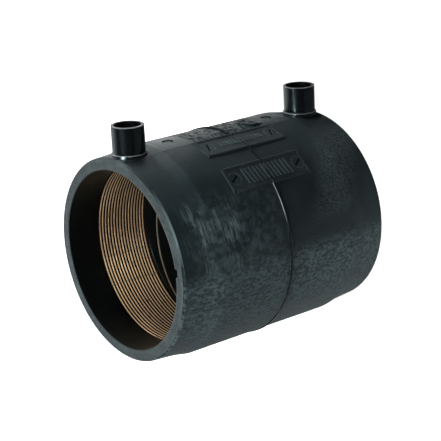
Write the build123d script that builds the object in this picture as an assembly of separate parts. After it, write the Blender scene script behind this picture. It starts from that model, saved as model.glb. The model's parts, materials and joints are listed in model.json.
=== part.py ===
from build123d import *
import math
import os

# Electrofusion coupler for 75 mm polyethylene pipe, in millimetres.
#
# A hollow black polyethylene moulding joins two pipe ends. One bare heating wire lies in its
# bore, wound near each mouth, with a long slow turn between the two windings. Its ends rise
# into two brass contact pins, each inside a round shroud that takes a welding lead.
#
# The coupler stands on its lower end face. Z is the axis of the bore, and the origin is on it
# in the plane of that face. The shrouds point along -Y. Angles go from -Y towards -X.

# Barrel
length = 107.4  # end face to end face
bore_radius = 37.8  # slides over a 75 mm pipe
end_wall = 5.0  # thickness of the wall at the end faces
land_length = 12.0  # slightly tapered stretch from each end face to its shoulder
land_rise = 0.9  # growth in radius along that stretch
shoulder_length = 6.0  # steeper stretch from there up to the barrel
shoulder_rise = 1.1  # growth in radius along that stretch
edge_chamfer = 0.7  # outer edge of the end faces

# Bead where the two halves of the mould meet
bead_height = 0.45
bead_width = 0.9

# Lugs in the middle of the bore, which stop the pipe ends
stop_count = 4
stop_first_angle = 45.0
stop_height = 2.0
stop_width = 8.0
stop_thickness = 2.4
stop_chamfer = 0.5

# Heating wire, of square section for round wire 0.8 mm thick
wire_width = 0.72
wire_flush = 0.03  # the wire lies at least this far behind the wall of the bore
wire_clearance = 0.05  # round the wire, in its seats
wire_step = 20.0  # turn of the wire, in degrees, from one of its stations to the next
seat_margin = 0.4  # of the seat of each winding, past its outer turns
winding_full_turns = 16  # at each end, before the part turn that brings it round
winding_pitch = 1.517
winding_start = 14.7  # middle of the outermost turn, from its end face
crossing_angle = 172.0  # where the long turn across the middle leaves the lower winding
lead_bend = 1.5  # from the end of a winding to the middle plane of its pin
lead_dive = 1.05  # how far the lead sinks into the wall on its way to the pin

# Terminals
terminal_setback = 7.9  # axis of the shroud, from its end face
boss_rise = 1.5  # top of the boss under the shroud, above the end of the barrel
boss_lip = 0.4  # how far the boss stands out round the shroud
boss_spread = 0.5  # growth in radius of the boss on its way down
boss_drop = 2.8  # height of the boss
shroud_height = 11.45  # from the boss to the rim
shroud_radius = 6.8
shroud_wall = 1.2
shroud_depth = 13.0

# Contact pins
pin_diameter = 4.7
pin_recess = 4.5  # tip of the pin below the rim
pin_tip_chamfer = 0.5
pin_root_diameter = 4.0  # thinner, so that the pin's shoulder sits on the floor of the shroud
pin_root_length = 2.8  # in the wall below that floor
pin_eye_depth = 1.5  # hole in the root that takes the end of the wire

# Fusion indicators, each a stub in a blind well over the middle of a winding
indicator_well_diameter = 5.0
indicator_well_depth = 4.2
indicator_stub_diameter = 4.0
indicator_sink = 0.35  # top of the stub below the surface of the barrel
indicator_chamfer = 0.4

# Raised label plates, with the slots of the screws that hold their inserts in the mould
plate_length = 41.0
plate_width = 12.0
plate_rise = 0.6  # middle of the plate above the barrel
plate_bevel = 0.5
panel_margin = 0.8
panel_depth = 0.3
slot_inset = 3.8  # centre of a slot, from the end of the plate
slot_length = 5.2
slot_width = 1.0
slot_depth = 0.4  # below the panel
plates = {"upper": (18.7, 70.0), "lower": (43.3, 34.0)}  # angle of the plate, turn of the slots

# Round date mark beside the plates
date_height = 37.3
date_angle = 1.0
date_diameter = 11.0
date_rise = 0.5  # middle of the mark above the barrel

# Nick in the edge of the upper mouth
nick_angle = 84.0
nick_width = 3.4
nick_depth = 0.9
nick_reach = 1.3  # from the wall of the bore outwards

# Worked out from the sizes above
middle = length / 2
end_radius = bore_radius + end_wall
shoulder_foot_radius = end_radius + land_rise
barrel_radius = shoulder_foot_radius + shoulder_rise
boss_top = end_radius + boss_rise
shroud_top = boss_top + shroud_height
well_floor = shroud_top - shroud_depth
pin_foot = well_floor - pin_root_length
inner_turn_radius = bore_radius + wire_flush + wire_width / 2
wire_radius = inner_turn_radius / math.cos(math.radians(wire_step / 2))
seat_radius = wire_radius + wire_width / 2 + wire_clearance
lead_angle = math.degrees(math.asin(lead_bend / wire_radius))
winding_sweep = winding_full_turns * 360 + 360 - crossing_angle - lead_angle
crossing_start = winding_start + winding_pitch * winding_sweep / 360
winding_middle = (winding_start + crossing_start) / 2
embed = 1.5  # how far a form that is added reaches into the wall that carries it
overcut = 1.0  # how far a cut runs past the surface it opens
RISING = (Align.CENTER, Align.CENTER, Align.MIN)


def at_angle(shape, angle):
    """Turn a shape made on the -Y side to its own angle round the bore."""
    return shape.rotate(Axis.Z, -angle)


def outward(shape, height):
    """Lay a shape made along +Z so that it points from the axis along -Y, at this height."""
    return Location((0, 0, height), (90, 0, 0)) * shape


def raised(shape, level):
    """Lift a shape along +Z."""
    return Location((0, 0, level)) * shape


def at_both_ends(shape):
    """The shape at the lower end, and again at the upper end, turned over about the Y axis."""
    turned_over = Location((0, 0, length)) * shape.rotate(Axis.Y, 180)
    return [shape, turned_over]


def continued(points):
    """Lower half's (radius, height) points, and the same over the middle plane."""
    return points + [(radius, length - height) for radius, height in reversed(points)]


def outline_face(points):
    """Face between the axis and a line of (radius, height) points."""
    return make_face(Polyline(*[(radius, 0, height) for radius, height in points], close=True))


def turned(points):
    """Solid of revolution about Z from a closed line of (radius, height) points."""
    return revolve(outline_face(points), Axis.Z)


def corners_at(face, points):
    """Vertices of a face at these (radius, height) points."""
    return [
        vertex
        for vertex in face.vertices()
        if any(math.hypot(vertex.X - radius, vertex.Z - height) < 0.01 for radius, height in points)
    ]


def barrel_form():
    """Barrel without its bore."""
    end = (end_radius, 0)
    foot = (shoulder_foot_radius, land_length)
    head = (barrel_radius, land_length + shoulder_length)
    face = outline_face([(0, 0)] + continued([end, foot, head]) + [(0, length)])
    return revolve(chamfer(corners_at(face, continued([end])), edge_chamfer), Axis.Z)


def bore_form():
    """What is taken out along the bore, with the seats of the two windings."""
    first = winding_start - wire_width / 2 - seat_margin
    last = crossing_start + wire_width / 2 + seat_margin
    mouth = [(0, -overcut), (bore_radius, -overcut)]
    seat = [(bore_radius, first), (seat_radius, first), (seat_radius, last), (bore_radius, last)]
    return turned(continued(mouth + seat))


def ring_section(inner, outer, thickness, height):
    """Rectangle in the XZ plane, between two radii and about this height."""
    place = Plane.XZ * Location(((inner + outer) / 2, height))
    return place * Rectangle(outer - inner, thickness)


def seam_bead():
    section = ring_section(barrel_radius - embed, barrel_radius + bead_height, bead_width, middle)
    return revolve(section, Axis.Z)


def stop_lugs():
    turn = math.degrees(stop_width / bore_radius)
    inner = bore_radius - stop_height
    section = ring_section(inner, bore_radius + embed, stop_thickness, middle)
    section = chamfer(section.vertices().sort_by(Axis.X)[:2], stop_chamfer)
    lug = revolve(section, Axis.Z, revolution_arc=turn).rotate(Axis.Z, -90 - turn / 2)
    step = 360 / stop_count
    return [at_angle(lug, stop_first_angle + step * number) for number in range(stop_count)]


def terminal_tower():
    """Boss and shroud along +Z, not yet hollow, with heights from the axis of the bore."""
    boss_radius = shroud_radius + boss_lip
    boss_foot = boss_top - boss_drop
    boss = [(0, boss_foot), (boss_radius + boss_spread, boss_foot), (boss_radius, boss_top)]
    shroud = [(shroud_radius, boss_top), (shroud_radius, shroud_top), (0, shroud_top)]
    return turned(boss + shroud)


def terminal_well():
    """Hollow of a shroud along +Z."""
    well = Cylinder(shroud_radius - shroud_wall, shroud_depth + overcut, align=RISING)
    return raised(well, well_floor)


def contact_pin():
    """Pin along +Z, with its shoulder on the floor, its root in the wall and no eye yet."""
    tip = shroud_top - pin_recess
    pin = pin_diameter / 2
    root = pin_root_diameter / 2
    below = [(0, pin_foot), (root, pin_foot), (root, well_floor)]
    above = [(pin, well_floor), (pin, tip - pin_tip_chamfer), (pin - pin_tip_chamfer, tip), (0, tip)]
    return turned(below + above)


def indicator_well():
    depth = indicator_well_depth + overcut
    well = Cylinder(indicator_well_diameter / 2, depth, align=RISING)
    return raised(well, barrel_radius - indicator_well_depth)


def indicator_stub():
    """Stub along +Z that stands on the floor of the well."""
    height = indicator_well_depth - indicator_sink
    stub = Cylinder(indicator_stub_diameter / 2, height, align=RISING)
    stub = chamfer(stub.edges().sort_by(Axis.Z)[-1], indicator_chamfer)
    return raised(stub, barrel_radius - indicator_well_depth)


def label_plate(slot_turn):
    """Flat raised plate along +Z with its panel and the slots of two screws."""
    low = barrel_radius - embed
    block = raised(Box(plate_width, plate_length, embed + plate_rise, align=RISING), low)
    block = chamfer(block.faces().sort_by(Axis.Z)[-1].edges(), plate_bevel)
    inset = 2 * (plate_bevel + panel_margin)
    level = barrel_radius + plate_rise - panel_depth
    panel = raised(Box(plate_width - inset, plate_length - inset, overcut, align=RISING), level)
    slot = Rotation(0, 0, slot_turn) * Box(slot_width, slot_length, 2 * slot_depth)
    reach = plate_length / 2 - slot_inset
    slots = [Location((0, side * reach, level)) * slot for side in (-1, 1)]
    return block.cut(panel, *slots)


def date_mark():
    disc = Cylinder(date_diameter / 2, embed + date_rise, align=RISING)
    return raised(disc, barrel_radius - embed)


def mouth_nick():
    nick = Box(nick_width, nick_reach + overcut, 2 * nick_depth)
    place = Location((0, -bore_radius + (overcut - nick_reach) / 2, length), (0, 0, 0))
    return at_angle(place * nick, nick_angle)


def stations(angle, height, sweep_angle, climb):
    """Angles and heights of the stations of a right-hand run that starts at this angle."""
    count = round(sweep_angle / wire_step)
    shares = [number / count for number in range(count + 1)]
    return [(angle - sweep_angle * share, height + climb * share) for share in shares]


def station_edges(inner, outer, width, angle, height):
    """Four edges, in order, round the section of a bar at one of its stations."""
    turn = math.radians(angle)
    low, high = height - width / 2, height + width / 2
    corners = [(inner, low), (outer, low), (outer, high), (inner, high)]
    across, forward = -math.sin(turn), -math.cos(turn)
    points = [Vector(radius * across, radius * forward, level) for radius, level in corners]
    return [Line(start, end) for start, end in zip(points, points[1:] + points[:1])]


def coil(places, inner, outer, width):
    """Bar between two radii through stations round the bore, closed by a face at each end."""
    outlines = [station_edges(inner, outer, width, angle, height) for angle, height in places]
    sides = [
        Face.make_surface_from_curves(edge, edge_beyond)
        for outline, outline_beyond in zip(outlines, outlines[1:])
        for edge, edge_beyond in zip(outline, outline_beyond)
    ]
    ends = [make_face(outlines[0]).face(), make_face(outlines[-1]).face()]
    return Solid(Shell(sides + ends))


def lead(width):
    """Square bar from the end of the lower winding into the eye of the lower pin."""
    turn = math.radians(lead_angle)
    start = Vector(lead_bend, -wire_radius * math.cos(turn), winding_start)
    corner = Vector(0, -wire_radius / math.cos(turn), winding_start)
    dive = Vector(0, -wire_radius - lead_dive, terminal_setback)
    eye = Vector(0, -pin_foot - pin_eye_depth, terminal_setback)
    outwards = Vector(start.X, start.Y, 0)
    section = Plane(start, x_dir=outwards, z_dir=corner - start) * Rectangle(width, width)
    return sweep(section, path=Polyline(start, corner, dive, eye), transition=Transition.RIGHT)


def wire_forms():
    """The heating wire, its two leads alone, and the channels that the wall needs for it."""
    climb = crossing_start - winding_start
    lower = stations(-lead_angle, winding_start, winding_sweep, climb)
    crossing = stations(crossing_angle, crossing_start, 2 * crossing_angle, length - 2 * crossing_start)
    upper = stations(-crossing_angle, length - crossing_start, winding_sweep, climb)
    half = wire_width / 2
    turns = coil(lower + crossing[1:] + upper[1:], wire_radius - half, wire_radius + half, wire_width)
    leads = at_both_ends(lead(wire_width))

    channel_width = wire_width + 2 * wire_clearance
    groove = coil(crossing, bore_radius - overcut, seat_radius, channel_width)
    channels = [groove] + at_both_ends(lead(channel_width))
    return turns.fuse(*leads), leads, channels


def build():
    wire, wire_ends, channels = wire_forms()

    towers = at_both_ends(outward(terminal_tower(), terminal_setback))
    wells = at_both_ends(outward(terminal_well(), terminal_setback))
    pins = at_both_ends(outward(contact_pin(), terminal_setback))
    pits = at_both_ends(outward(indicator_well(), winding_middle))
    stubs = at_both_ends(outward(indicator_stub(), winding_middle))
    labels = [at_angle(outward(label_plate(turn), middle), angle) for angle, turn in plates.values()]
    date = at_angle(outward(date_mark(), date_height), date_angle)

    body = barrel_form().fuse(seam_bead(), *towers, *labels, date)
    body = body.cut(bore_form(), *wells, *pits, *channels, *pins, mouth_nick())
    body = body.fuse(*stop_lugs())

    nodes = {"coupler_body": body, "heating_wire": wire}
    for end, pin, wire_end, stub in zip(("lower", "upper"), pins, wire_ends, stubs):
        nodes[f"contact_pin_{end}"] = pin - wire_end
        nodes[f"fusion_indicator_{end}"] = stub
    return nodes


os.makedirs("parts", exist_ok=True)
for node, shape in build().items():
    export_step(shape, f"parts/{node}.step")
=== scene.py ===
import json
import math

import bpy
from mathutils import Matrix, Vector


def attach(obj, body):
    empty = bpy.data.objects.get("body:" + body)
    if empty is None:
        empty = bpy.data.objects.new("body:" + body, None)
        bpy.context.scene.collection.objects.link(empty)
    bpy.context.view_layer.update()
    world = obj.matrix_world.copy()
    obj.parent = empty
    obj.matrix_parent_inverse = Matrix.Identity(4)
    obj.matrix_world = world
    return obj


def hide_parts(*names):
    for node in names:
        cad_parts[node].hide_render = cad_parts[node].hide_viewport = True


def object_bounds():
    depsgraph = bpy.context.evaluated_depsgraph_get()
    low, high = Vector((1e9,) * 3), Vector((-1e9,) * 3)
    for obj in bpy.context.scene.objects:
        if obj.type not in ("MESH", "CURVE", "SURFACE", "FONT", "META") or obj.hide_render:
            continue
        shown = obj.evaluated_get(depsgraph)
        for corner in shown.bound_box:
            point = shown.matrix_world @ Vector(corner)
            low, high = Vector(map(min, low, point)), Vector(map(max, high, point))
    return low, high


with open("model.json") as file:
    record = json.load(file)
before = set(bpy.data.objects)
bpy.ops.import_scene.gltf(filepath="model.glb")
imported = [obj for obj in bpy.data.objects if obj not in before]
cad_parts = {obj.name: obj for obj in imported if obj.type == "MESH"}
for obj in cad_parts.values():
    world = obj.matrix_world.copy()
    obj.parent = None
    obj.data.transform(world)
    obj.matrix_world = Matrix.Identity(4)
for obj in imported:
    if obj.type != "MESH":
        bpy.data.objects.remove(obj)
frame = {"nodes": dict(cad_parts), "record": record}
cad_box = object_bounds()
mounts = {mount["name"]: mount for mount in frame["record"]["mounts"]}

# Sizes of the moulding, in metres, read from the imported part
LENGTH = cad_box[1][2]
BORE = mounts["lower_socket"]["dims"]["r_mm"] / 1000
SETBACK = mounts["lower_terminal"]["pos_m"][2]

# The same places in millimetres, for the finishes
MIDDLE_MM = LENGTH * 500
TERMINAL_MM = (LENGTH / 2 - SETBACK) * 1000

# Label plates: the angle of each, the level of its panel and how far its slots are from the middle
UPPER_PLATE, LOWER_PLATE = 18.7, 43.3
PANEL_LEVEL = 0.04505
SLOT_OFFSET = 0.0167

# Tint that the plastic gives to what it mirrors
PLASTIC_TINT = (0.7, 0.95, 1.0, 1.0)

# Sizes of the heating wire, in metres
WIRE = 0.0004
WIRE_PATH = BORE + 0.00003 + WIRE
PITCH = 0.001517
WINDING_START = 0.0147
CROSSING_ANGLE = 172.0
FULL_TURNS = 16


class Value:
    """A socket of a finish's nodes, so that its maths is written as sums and products."""

    def __init__(self, finish, socket):
        self.finish = finish
        self.socket = socket

    def maths(self, operation, *values):
        return self.finish.node("Math", {"operation": operation}, dict(enumerate(values)))

    def __add__(self, other):
        return self.maths("ADD", self, other)

    def __sub__(self, other):
        return self.maths("SUBTRACT", self, other)

    def __mul__(self, other):
        return self.maths("MULTIPLY", self, other)

    def __radd__(self, other):
        return self.maths("ADD", other, self)

    def __rsub__(self, other):
        return self.maths("SUBTRACT", other, self)

    def __rmul__(self, other):
        return self.maths("MULTIPLY", other, self)

    def __neg__(self):
        return self.maths("MULTIPLY", self, -1.0)

    def __abs__(self):
        return self.maths("ABSOLUTE", self)

    def rising(self, low, high):
        """From 0 at low to 1 at high, smoothly."""
        ends = {"Value": self, "From Min": low, "From Max": high}
        return self.finish.node("MapRange", {"interpolation_type": "SMOOTHSTEP"}, ends)

    def within(self, low, high, soft):
        """1 between low and high, and 0 outside."""
        return self.rising(low - soft, low + soft) * (1 - self.rising(high - soft, high + soft))


class Finish:
    """A material, with the places on the moulding that its colour and wear depend on."""

    def __init__(self, name):
        self.material = bpy.data.materials.new(name)
        self.material.use_nodes = True
        self.nodes = self.material.node_tree.nodes
        self.surface = self.nodes["Principled BSDF"]
        self.place = self.node("TexCoord", output="Object")
        self.place_mm = self.node("VectorMath", {"operation": "SCALE"}, {0: self.place, "Scale": 1000.0})
        split = self.nodes.new("ShaderNodeSeparateXYZ")
        self.feed(split.inputs[0], self.place_mm)
        self.x, self.y, self.z = (Value(self, socket) for socket in split.outputs)

    def feed(self, socket, value):
        if isinstance(value, Value):
            self.material.node_tree.links.new(value.socket, socket)
        else:
            socket.default_value = value

    def node(self, kind, settings=None, inputs=None, output=0):
        """Any node, from its type, its settings and what goes into its sockets."""
        node = self.nodes.new("ShaderNode" + kind)
        for name, setting in (settings or {}).items():
            setattr(node, name, setting)
        for socket, value in (inputs or {}).items():
            self.feed(node.inputs[socket], value)
        return Value(self, node.outputs[output])

    def noise(self, scale, detail=2.0, roughness=0.5, place=None):
        """Even noise from 0 to 1, with a scale in features per millimetre."""
        inputs = {"Vector": place or self.place_mm, "Scale": scale, "Detail": detail, "Roughness": roughness}
        return self.node("TexNoise", {}, inputs)

    def streaks(self, x, y, z, detail=2.0, roughness=0.5):
        """Noise drawn out by its own scale along each axis."""
        size = self.node("VectorMath", {"operation": "MULTIPLY"}, {0: self.place_mm, 1: (x, y, z)})
        return self.noise(1.0, detail, roughness, size)

    def mixed(self, share, first, second):
        """Colour between two colours."""
        node = self.nodes.new("ShaderNodeMix")
        node.data_type = "RGBA"
        for socket, value in ((0, share), (6, first), (7, second)):
            self.feed(node.inputs[socket], value)
        return Value(self, node.outputs[2])

    def radius(self):
        return self.node("Math", {"operation": "SQRT"}, {0: self.x * self.x + self.y * self.y})

    def angle(self):
        """Degrees round the bore from the shrouds towards -X."""
        turn = self.node("Math", {"operation": "ARCTAN2"}, {0: -self.x, 1: -self.y})
        return turn * math.degrees(1)

    def relief(self, height, depth, strength=1.0, edge=None):
        """Feed the normal from a height of 0 to 1, where 1 stands this many metres proud."""
        inputs = {"Strength": strength, "Distance": depth, "Height": height}
        if edge:
            inputs["Normal"] = self.node("Bevel", {"samples": 6}, {"Radius": edge})
        self.feed(self.surface.inputs["Normal"], self.node("Bump", {}, inputs))

    def dulled(self, share, colour):
        """Where share is 1, a plain matt colour takes the place of the surface."""
        matt = self.node("BsdfDiffuse", {}, {"Color": colour})
        glossy = Value(self, self.surface.outputs[0])
        both = self.node("MixShader", {}, {0: share, 1: glossy, 2: matt})
        self.feed(self.nodes["Material Output"].inputs["Surface"], both)

    def set(self, **values):
        names = {name.replace(" ", "_"): name for name in self.surface.inputs.keys()}
        for name, value in values.items():
            self.feed(self.surface.inputs[names[name]], value)


class Surroundings(Finish):
    """The world, with its nodes made as those of a finish and x, y and z as a direction."""

    def __init__(self, name):
        self.material = bpy.data.worlds.new(name)
        self.material.use_nodes = True
        self.nodes = self.material.node_tree.nodes
        self.surface = self.nodes["Background"]
        split = self.nodes.new("ShaderNodeSeparateXYZ")
        self.feed(split.inputs[0], self.node("TexCoord", output="Generated"))
        self.x, self.y, self.z = (Value(self, socket) for socket in split.outputs)


def black_polyethylene():
    """The moulding: dull black-green outside, dark and smooth inside, glossy shrouds and bead."""
    pe = Finish("black_polyethylene")
    radius, angle = pe.radius(), pe.angle()
    turned_away = abs(angle)
    outside = radius.rising(41.0, 42.0)
    beyond_ends = pe.z.rising(107.2, 107.35) + (1 - pe.z.rising(0.05, 0.2))
    end_face = beyond_ends * radius.rising(37.9, 38.4) * (1 - radius.rising(41.85, 42.05))
    edge = pe.z.rising(106.65, 106.75) * radius.rising(41.95, 42.1)
    past_middle = abs(pe.z - MIDDLE_MM) - TERMINAL_MM
    from_terminal = pe.node("Math", {"operation": "SQRT"}, {0: pe.x * pe.x + past_middle * past_middle})
    tower = (1 - pe.y.rising(-43.4, -42.6)) * (1 - from_terminal.rising(7.5, 8.0))
    rim = tower * (1 - pe.y.rising(-55.7, -55.5)) * from_terminal.rising(6.05, 6.35)
    lip_highlight = tower * pe.y.within(-44.5, -44.15, 0.05) * from_terminal.rising(6.75, 6.85)
    bead = pe.z.within(53.15, 54.25, 0.05) * radius.rising(44.82, 44.9)
    bead_flank_highlight = bead * pe.z.rising(54.05, 54.12) * angle.within(40.0, 66.0, 8.0)

    grain = pe.noise(2.2, 3.0, 0.6)
    speckle = pe.noise(1.1, 3.0, 0.7)
    flecks = pe.streaks(0.3, 0.9, 1.1, 3.0, 0.7)
    dashes = pe.streaks(0.75, 0.75, 0.5, 4.0, 0.65)
    blotches = pe.noise(0.35, 4.0, 0.65)
    patches = pe.noise(0.13, 3.0, 0.6)
    clouds = pe.noise(0.055, 3.0, 0.55)
    hoops = pe.streaks(0.09, 0.09, 1.1, 4.0, 0.75)

    inserts = angle.rising(-36.0, -24.0) * (1 - angle.rising(9.4, 11.0)) * outside * (1 - tower)
    rough_top = inserts * pe.z.within(36.0, 72.5, 0.6) * (1 - bead)
    speckles = rough_top * flecks.rising(0.46, 0.54)
    shaded_seam = inserts * pe.z.within(53.0, 55.2, 0.15)
    rough_back = (turned_away + blotches * 6.0).rising(86.0, 98.0) * outside
    coarse = rough_back * dashes.rising(0.42, 0.58)
    worn = pe.z.within(74.0, 101.0, 7.0) * angle.within(50.0, 86.0, 10.0)
    worn = worn * hoops.rising(0.44, 0.62) * patches.rising(0.42, 0.62)
    marbled = pe.z.within(56.0, 96.0, 8.0) * angle.within(52.0, 90.0, 10.0)
    marbled = marbled * blotches.rising(0.42, 0.62)
    band = (pe.z + angle * -0.45).within(-14.0, 5.0, 6.0) * angle.within(24.0, 74.0, 8.0)
    rubbed = band * speckle.rising(0.46, 0.62) + band * blotches.rising(0.5, 0.7) * 0.4

    dark = (0.0055, 0.0098, 0.0108, 1.0)
    pale = (0.1, 0.14, 0.148, 1.0)
    share = clouds.rising(0.3, 0.75) * 0.06 + rough_back * 0.05 + coarse * 0.5 + marbled * 0.28
    share = share + coarse * (1 - pe.z.rising(40.0, 60.0)) * 0.2 + worn * 0.6 + rubbed * 0.28
    colour = pe.mixed(share * outside, dark, pale)
    face_grey = pe.mixed(blotches.rising(0.35, 0.65), (0.006, 0.009, 0.01, 1.0), (0.026, 0.036, 0.037, 1.0))
    colour = pe.mixed(end_face, colour, face_grey)
    inside = (1 - radius.rising(38.2, 40.0)) * (1 - end_face)
    colour = pe.mixed(inside, colour, (0.002, 0.002, 0.002, 1.0))
    # The mould seam across the rough patches is painted near-black: painted shade in its groove.
    colour = pe.mixed(shaded_seam, colour, (0.002, 0.003, 0.003, 1.0))
    colour = pe.mixed(tower, colour, (0.002, 0.0025, 0.003, 1.0))
    # The shroud rims are painted pale: a painted highlight where their top faces catch the light.
    colour = pe.mixed(rim, colour, (0.14, 0.135, 0.15, 1.0))
    # The lip at the foot of each shroud is painted pale: a painted highlight.
    colour = pe.mixed(lip_highlight, colour, (0.16, 0.17, 0.18, 1.0))
    colour = pe.mixed(bead, colour, (0.003, 0.004, 0.005, 1.0))
    # A pale stripe on the bead's flank is a painted highlight.
    colour = pe.mixed(bead_flank_highlight, colour, (0.3, 0.33, 0.34, 1.0))
    pip = pe.z.within(36.3, 38.3, 0.1) * angle.within(-1.4, 3.4, 0.2) * radius.rising(44.0, 44.5)
    colour = pe.mixed(pip, colour, (0.002, 0.002, 0.002, 1.0))

    # The near ends of the label plates are painted near-black: painted shade on their end faces.
    plate_end_shade = radius.rising(44.9, 45.0) * pe.z.within(73.5, 74.6, 0.05) * angle.within(5.0, 55.0, 0.5)
    colour = pe.mixed(plate_end_shade, colour, (0.003, 0.005, 0.005, 1.0))
    shroud_side = (1 - pe.y.rising(-36.0, -30.0)) * (1 - pe.z.rising(50.0, 60.0))
    near_shroud = (1 - from_terminal.rising(9.0, 15.0)) * outside * (1 - tower) * shroud_side
    dull = 0.46 + share * 0.4 + (grain - 0.5) * 0.25 - inserts * 0.16 - near_shroud * 0.2
    smooth_forms = (1 - tower) * (1 - bead) * (1 - edge) * (1 - inside)
    dull = dull * smooth_forms + tower * 0.2 + bead * 0.2 + edge * 0.25 + inside * 0.3 + lip_highlight * 0.35
    pe.set(Base_Color=colour, Roughness=dull)
    pe.surface.inputs["Specular IOR Level"].default_value = 0.4
    pe.surface.inputs["Specular Tint"].default_value = PLASTIC_TINT
    height = grain * 0.16 + speckles * 0.8 - shaded_seam * 0.8 + dashes * rough_back * 0.9
    height = height + blotches * (0.35 + rough_back * 0.5) + (worn + rubbed) * grain * 0.7
    pe.relief(height * smooth_forms, 0.0006, 1.0, edge=0.0002)
    # A matt dark patch round the foot of the lower shroud is a painted shadow.
    shroud_foot_shadow = near_shroud * (1 - from_terminal.rising(7.5, 13.0)) * 0.8
    # The slot recesses at the plate ends are made matt and dark: painted shade.
    slots = (angle.within(14.0, 23.4, 0.1) + angle.within(38.6, 48.0, 0.1)) * radius.rising(44.0, 44.3)
    slots = slots * (1 - radius.rising(44.9, 45.0)) * abs(pe.z - MIDDLE_MM).within(13.5, 19.8, 0.1)
    # The matt dark share is painted shade in the seam, slots and plate ends, a painted shadow at the shroud
    # foot, and real dark flecks in the rough patches.
    matt = speckles * 0.8 + shaded_seam * 0.8 + shroud_foot_shadow + plate_end_shade * 0.6 + slots * 0.9
    pe.dulled(matt, (0.007, 0.011, 0.012, 1.0))
    return pe.material


def bar_plastic():
    """Raised bars and rings on the label plates, painted paler than their plate: a painted highlight on the
    raised marks.
    """
    plastic = Finish("bar_plastic")
    grain = plastic.noise(2.6, 3.0, 0.6)
    plastic.set(Base_Color=plastic.mixed(grain, (0.009, 0.014, 0.015, 1.0), (0.034, 0.047, 0.05, 1.0)))
    plastic.set(Roughness=0.3 + grain * 0.2)
    plastic.surface.inputs["Specular Tint"].default_value = PLASTIC_TINT
    plastic.relief(grain, 0.0001, 0.8)
    return plastic.material


def resistance_wire():
    """Bare drawn heating wire, tan where it is clean and browner where it has been warm."""
    wire = Finish("resistance_wire")
    drawn = wire.streaks(0.25, 0.25, 3.0, 3.0, 0.6)
    warm = wire.noise(0.08, 3.0, 0.6)
    colour = wire.mixed(warm.rising(0.3, 0.75), (0.82, 0.63, 0.4, 1.0), (0.72, 0.51, 0.3, 1.0))
    wire.set(Base_Color=colour, Roughness=0.22 + drawn * 0.16)
    wire.surface.inputs["Metallic"].default_value = 0.75
    wire.relief(drawn, 0.00002, 0.5)
    return wire.material


def web_plastic():
    """Plastic between the turns, a mottled dark brown."""
    web = Finish("web_plastic")
    brown_mottle = web.noise(0.5, 3.0, 0.6)
    web.set(Base_Color=web.mixed(brown_mottle, (0.003, 0.0015, 0.0008, 1.0), (0.012, 0.006, 0.0025, 1.0)))
    web.set(Roughness=0.45 + brown_mottle * 0.2)
    web.surface.inputs["Specular IOR Level"].default_value = 0.1
    web.relief(brown_mottle, 0.00003, 0.5)
    return web.material


def turned_brass():
    """Contact pins: brass with fine turning marks round them."""
    brass = Finish("turned_brass")
    marks = brass.streaks(0.3, 6.0, 0.3, 2.0, 0.5)
    tarnish = brass.noise(0.6, 4.0, 0.6)
    colour = brass.mixed(tarnish.rising(0.35, 0.8), (0.75, 0.55, 0.25, 1.0), (0.42, 0.29, 0.13, 1.0))
    brass.set(Base_Color=colour, Roughness=0.2 + tarnish * 0.25)
    brass.surface.inputs["Metallic"].default_value = 1.0
    brass.relief(marks, 0.00003, 0.6)
    return brass.material


def indicator_plastic():
    """The indicators: the same plastic as the moulding, a little smoother."""
    plastic = Finish("indicator_plastic")
    grain = plastic.noise(3.0, 3.0, 0.6)
    colour = plastic.mixed(grain, (0.01, 0.014, 0.015, 1.0), (0.02, 0.026, 0.028, 1.0))
    plastic.set(Base_Color=colour, Roughness=0.4 + grain * 0.15)
    plastic.relief(grain, 0.00004, 0.6)
    return plastic.material


def on_barrel(angle, radius, height):
    """Point at this angle from the shrouds towards -X, in metres."""
    turn = math.radians(angle)
    return Vector((-radius * math.sin(turn), -radius * math.cos(turn), height))


def piece(name, points, faces, material, slot, smooth=True):
    """A mesh that rides with the moulding."""
    mesh = bpy.data.meshes.new(name)
    mesh.from_pydata(points, [], faces)
    mesh.materials.append(material)
    mesh.polygons.foreach_set("use_smooth", [smooth] * len(mesh.polygons))
    mesh.validate()
    thing = bpy.data.objects.new(name, mesh)
    bpy.context.scene.collection.objects.link(thing)
    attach(thing, "root")
    return thing


def tube(path, thickness, sides):
    """Points and faces of a round bar along a path, closed at both ends."""
    points, faces = [], []
    across = Vector((0, 0, 1))
    for number, here in enumerate(path):
        before = path[max(number - 1, 0)]
        after = path[min(number + 1, len(path) - 1)]
        along = (after - before).normalized()
        across = (across - along * across.dot(along)).normalized()
        up = along.cross(across)
        for side in range(sides):
            turn = 2 * math.pi * side / sides
            points.append(here + (across * math.cos(turn) + up * math.sin(turn)) * thickness)
    for ring in range(len(path) - 1):
        for side in range(sides):
            low, next_low = ring * sides + side, ring * sides + (side + 1) % sides
            faces.append((low, next_low, next_low + sides, low + sides))
    faces.append(tuple(reversed(range(sides))))
    faces.append(tuple(range(len(points) - sides, len(points))))
    return points, faces


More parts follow.
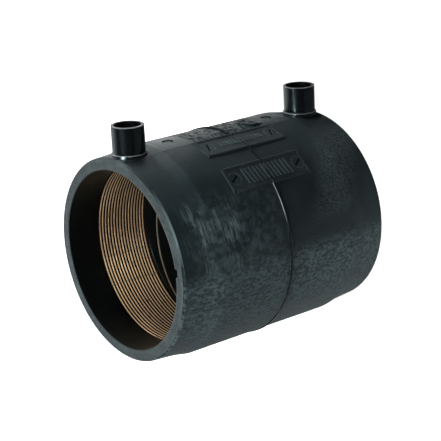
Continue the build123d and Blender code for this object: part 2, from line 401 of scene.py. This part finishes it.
def winding_path(steps):
    """Middle line of the wire: a lead, a winding, the long turn, a winding and a lead."""
    lead_angle = math.degrees(math.asin(0.0015 / WIRE_PATH))
    turns = FULL_TURNS + (360 - CROSSING_ANGLE - lead_angle) / 360
    rise = turns * PITCH
    crossing = LENGTH - 2 * (WINDING_START + rise)
    stages = [
        (-lead_angle, WINDING_START, turns * 360, rise),
        (CROSSING_ANGLE, WINDING_START + rise, 2 * CROSSING_ANGLE, crossing),
        (-CROSSING_ANGLE, LENGTH - WINDING_START - rise, turns * 360, rise),
    ]
    path = []
    for start, height, sweep, climb in stages:
        count = round(sweep / 360 * steps)
        for number in range(count):
            share = number / count
            path.append(on_barrel(start - sweep * share, WIRE_PATH, height + climb * share))
    path.append(on_barrel(lead_angle, WIRE_PATH, LENGTH - WINDING_START))
    eye = WIRE_PATH + 0.0034
    dive = WIRE_PATH + 0.00105
    first = [(0.0, eye, SETBACK), (0.0, dive + 0.0004, SETBACK), (0.0, dive, SETBACK + 0.0004)]
    first += [(0.0, WIRE_PATH + 0.0001, WINDING_START - 0.0009), (0.6, WIRE_PATH, WINDING_START - 0.0002)]
    lead_in = [on_barrel(-angle, radius, height) for angle, radius, height in first]
    lead_out = [on_barrel(angle, radius, LENGTH - height) for angle, radius, height in reversed(first)]
    return lead_in + path + lead_out


def winding_webs():
    """The plastic between the turns of each winding, with only the crest of the wire bare."""
    points, faces = [], []
    rise = (FULL_TURNS + (360 - CROSSING_ANGLE) / 360) * PITCH
    steps = 120
    for low in (WINDING_START - WIRE, LENGTH - WINDING_START - rise - WIRE):
        first = len(points)
        for height in (low, low + rise + 2 * WIRE):
            points += [on_barrel(360 * number / steps, BORE + 0.00015, height) for number in range(steps)]
        for number in range(steps):
            here, there = first + number, first + (number + 1) % steps
            faces.append((here, here + steps, there + steps, there))
    return points, faces


def label_bars():
    """Generic upright bars on the two label plates."""
    points, faces = [], []
    rows = ((LOWER_PLATE, 12, 0.0072, 0.0009, 0.00205), (UPPER_PLATE, 12, 0.0032, 0.0008, 0.0019))
    for angle, count, tall, wide, gap in rows:
        outward = on_barrel(angle, 1.0, 0.0)
        across = on_barrel(angle + 90, 1.0, 0.0)
        for number in range(count):
            middle = (number - (count - 1) / 2) * gap
            lean = -0.0005 + 0.0002 * math.sin(number * 2.4)
            first = len(points)
            for level, inset in ((PANEL_LEVEL, 0.0), (0.04536, 0.0), (0.04546, 0.00012)):
                for side, end in ((-1, -1), (1, -1), (1, 1), (-1, 1)):
                    high = LENGTH / 2 + middle + side * (wide / 2 - inset) + end * lean
                    flat = end * (tall / 2 - inset)
                    points.append(outward * level + across * flat + Vector((0, 0, high)))
            for ring in (0, 4):
                for side in range(4):
                    low, next_low = first + ring + side, first + ring + (side + 1) % 4
                    faces.append((low, next_low, next_low + 4, low + 4))
            faces.append(tuple(first + 8 + side for side in range(4)))
    return points, faces


def screw_rings():
    """Fine rings round the slots at the two ends of each label plate."""
    rings = []
    for angle in (UPPER_PLATE, LOWER_PLATE):
        outward = on_barrel(angle, 1.0, 0.0)
        across = on_barrel(angle + 90, 1.0, 0.0)
        for side in (-1, 1):
            middle = outward * 0.04511 + Vector((0, 0, LENGTH / 2 + side * SLOT_OFFSET))
            turns = [2 * math.pi * number / 40 for number in range(41)]
            round_slot = [across * math.cos(turn) + Vector((0, 0, math.sin(turn))) for turn in turns]
            path = [middle + spoke * 0.0029 for spoke in round_slot]
            rings.append(ridge(path, lambda here, outward=outward: outward, 0.0005, 0.00012))
    return joined(rings)


def ridge(path, outwards, width, height):
    """Points and faces of a fine raised line along a path on a surface."""
    points, faces = [], []
    for number, here in enumerate(path):
        along = (path[min(number + 1, len(path) - 1)] - path[max(number - 1, 0)]).normalized()
        out = outwards(here)
        across = along.cross(out).normalized()
        points += [here - across * width / 2 - out * height, here - across * width * 0.2 + out * height]
        points += [here + across * width * 0.2 + out * height, here + across * width / 2 - out * height]
    for ring in range(len(path) - 1):
        for side in range(3):
            low = ring * 4 + side
            faces.append((low, low + 1, low + 5, low + 4))
    return points, faces


def joined(parts):
    """Several lists of points and faces as one."""
    points, faces = [], []
    for some_points, some_faces in parts:
        first = len(points)
        points += some_points
        faces += [tuple(first + corner for corner in face) for face in some_faces]
    return points, faces


def outside_radius(height):
    """Outer radius of the barrel at a height, in metres."""
    low = min(height, LENGTH - height)
    stations = [(0.0, 0.0428), (0.012, 0.0437), (0.018, 0.0448), (0.0537, 0.0448)]
    for (start, inner), (end, outer) in zip(stations, stations[1:]):
        if low <= end:
            return inner + (outer - inner) * (low - start) / (end - start)
    return stations[-1][1]


def away_from_axis(point):
    return Vector((point.x, point.y, 0)).normalized()


def towards_axis(point):
    return -away_from_axis(point)


def lengthwise(angle, low, high, radius_at, steps=24):
    heights = [low + (high - low) * number / steps for number in range(steps + 1)]
    return [on_barrel(angle, radius_at(height), height) for height in heights]


def hoop(height, first, last, radius, steps=24):
    angles = [first + (last - first) * number / steps for number in range(steps + 1)]
    return [on_barrel(angle, radius, height) for angle in angles]


def insert_lines():
    """Fine lines on the barrel round the inserts of the mould."""
    lines = []
    for side in (-1, 1):
        lines.append(lengthwise(side * 11.0, 0.0105, 0.0332, outside_radius))
        lines.append(lengthwise(side * 11.0, LENGTH - 0.0332, LENGTH - 0.0105, outside_radius))
    for height in (0.0272, LENGTH - 0.0272):
        lines.append(hoop(height, 3.4, 10.8, outside_radius(height)))
    for height in (0.0215, LENGTH - 0.0215):
        lines.append(hoop(height, -40.0, 10.8, outside_radius(height)))
    for angle in (-89.0, 89.0):
        lines.append(lengthwise(angle, 0.001, LENGTH - 0.001, outside_radius))
    return joined([ridge(line, away_from_axis, 0.00032, 0.00007) for line in lines])


def bore_flash():
    """Fine lines of plastic that run lengthwise over the turns of each winding."""
    lines = []
    rise = (FULL_TURNS + 0.5) * PITCH
    for angle in (-63.0, -108.0, -127.0):
        for low in (WINDING_START - 0.0005, LENGTH - WINDING_START - rise):
            lines.append(lengthwise(angle, low, low + rise + 0.0005, lambda height: BORE + 0.00004, 6))
    return joined([ridge(line, towards_axis, 0.00025, 0.00004) for line in lines])


def area_lamp(name, place, target, size, power, spread=180.0):
    lamp = bpy.data.lights.new(name, "AREA")
    lamp.spread = math.radians(spread)
    lamp.shape = "RECTANGLE"
    lamp.size, lamp.size_y = size
    lamp.energy = power
    thing = bpy.data.objects.new(name, lamp)
    thing.location = place
    thing.rotation_euler = (Vector(target) - Vector(place)).to_track_quat("-Z", "Y").to_euler()
    bpy.context.scene.collection.objects.link(thing)


def studio():
    """White floor and surroundings, soft lamps, and the camera."""
    floor_finish = Finish("white_floor")
    cloud = floor_finish.noise(0.004, 2.0, 0.5)
    behind = floor_finish.x.rising(-10.0, 120.0) * (0.96 + cloud * 0.04)
    beside = floor_finish.y.rising(-40.0, 8.0) * 0.4
    behind = behind + beside * (1 - behind)
    ground = floor_finish.mixed(behind, (0.08, 0.08, 0.08, 1.0), (0.85, 0.85, 0.85, 1.0))
    floor_finish.set(Base_Color=ground)
    floor_finish.surface.inputs["Roughness"].default_value = 0.9
    rays = floor_finish.nodes.new("ShaderNodeLightPath")
    seen = Value(floor_finish, rays.outputs["Is Camera Ray"])
    white = floor_finish.mixed(behind, (0.97, 0.97, 0.97, 1.0), (0.7, 0.7, 0.7, 1.0))
    floor_finish.set(Emission_Color=floor_finish.mixed(seen, (0.0, 0.0, 0.0, 1.0), white))
    floor_finish.surface.inputs["Emission Strength"].default_value = 1.0
    steps = 48
    turns = [2 * math.pi * number / steps for number in range(steps)]
    rim = [(3 * math.cos(turn), 3 * math.sin(turn), 0.0) for turn in turns]
    mesh = bpy.data.meshes.new("floor")
    mesh.from_pydata(rim, [], [tuple(range(steps))])
    mesh.materials.append(floor_finish.material)
    floor = bpy.data.objects.new("floor", mesh)
    bpy.context.scene.collection.objects.link(floor)

    surroundings = Surroundings("studio")
    bpy.context.scene.world = surroundings.material
    rays = surroundings.nodes.new("ShaderNodeLightPath")
    names = ("Is Camera Ray", "Is Glossy Ray", "Is Transmission Ray")
    seen, mirrored, through = (Value(surroundings, rays.outputs[name]) for name in names)
    backdrop = surroundings.x.rising(0.35, 0.85)
    share = seen + (mirrored + through) * backdrop
    surroundings.set(Color=surroundings.mixed(share, (0.05, 0.05, 0.05, 1.0), (1.0, 1.0, 1.0, 1.0)))

    middle = (0.0, 0.0, LENGTH / 2)
    area_lamp("mouth", (-0.12, -0.35, 0.9), middle, (0.4, 0.4), 2.6)
    area_lamp("bore", (-0.2, -0.1, 0.85), (0.02, 0.0, 0.085), (0.2, 0.2), 0.26, spread=20.0)
    area_lamp("far_side", (0.85, 0.3, 0.35), middle, (0.7, 1.1), 0.7)
    area_lamp("back", (0.45, -0.75, 0.2), middle, (0.5, 0.5), 8.0)
    area_lamp("under", (-0.35, 0.75, 0.25), middle, (0.6, 0.5), 2.0)

    camera = bpy.data.cameras.new("camera")
    camera.lens = 119.2
    camera.sensor_width = 36.0
    camera.clip_start, camera.clip_end = 0.01, 20.0
    forward = Vector((0.7506, 0.3070, -0.5852)).normalized()
    up = Vector((0.2119, -0.9506, -0.2268))
    right = forward.cross(up).normalized()
    up = right.cross(forward)
    thing = bpy.data.objects.new("camera", camera)
    turn = Matrix((right, up, -forward)).transposed().to_4x4()
    thing.matrix_world = Matrix.Translation((-0.4692, -0.1966, 0.4205)) @ turn
    bpy.context.scene.collection.objects.link(thing)
    bpy.context.scene.camera = thing
    bpy.context.scene.view_settings.view_transform = "Standard"


def dress(node, material):
    """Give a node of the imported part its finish."""
    slots = frame["nodes"][node].data.materials
    slots.clear()
    slots.append(material)


polyethylene = black_polyethylene()
wire_finish = resistance_wire()
web_finish = web_plastic()
bars_finish = bar_plastic()
brass = turned_brass()
plastic = indicator_plastic()

dress("coupler_body", polyethylene)
for end in ("lower", "upper"):
    dress("contact_pin_" + end, brass)
    dress("fusion_indicator_" + end, plastic)

turns = piece("heating_turns", *tube(winding_path(96), WIRE, 10), wire_finish, "wire")
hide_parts("heating_wire")
piece("winding_webs", *winding_webs(), web_finish, "body")
# The bars and rings take the paler bar finish, a painted highlight.
piece("label_bars", *label_bars(), bars_finish, "body", smooth=False)
piece("screw_rings", *screw_rings(), bars_finish, "body")
piece("insert_lines", *insert_lines(), polyethylene, "body")
piece("bore_flash", *bore_flash(), plastic, "body")

studio()
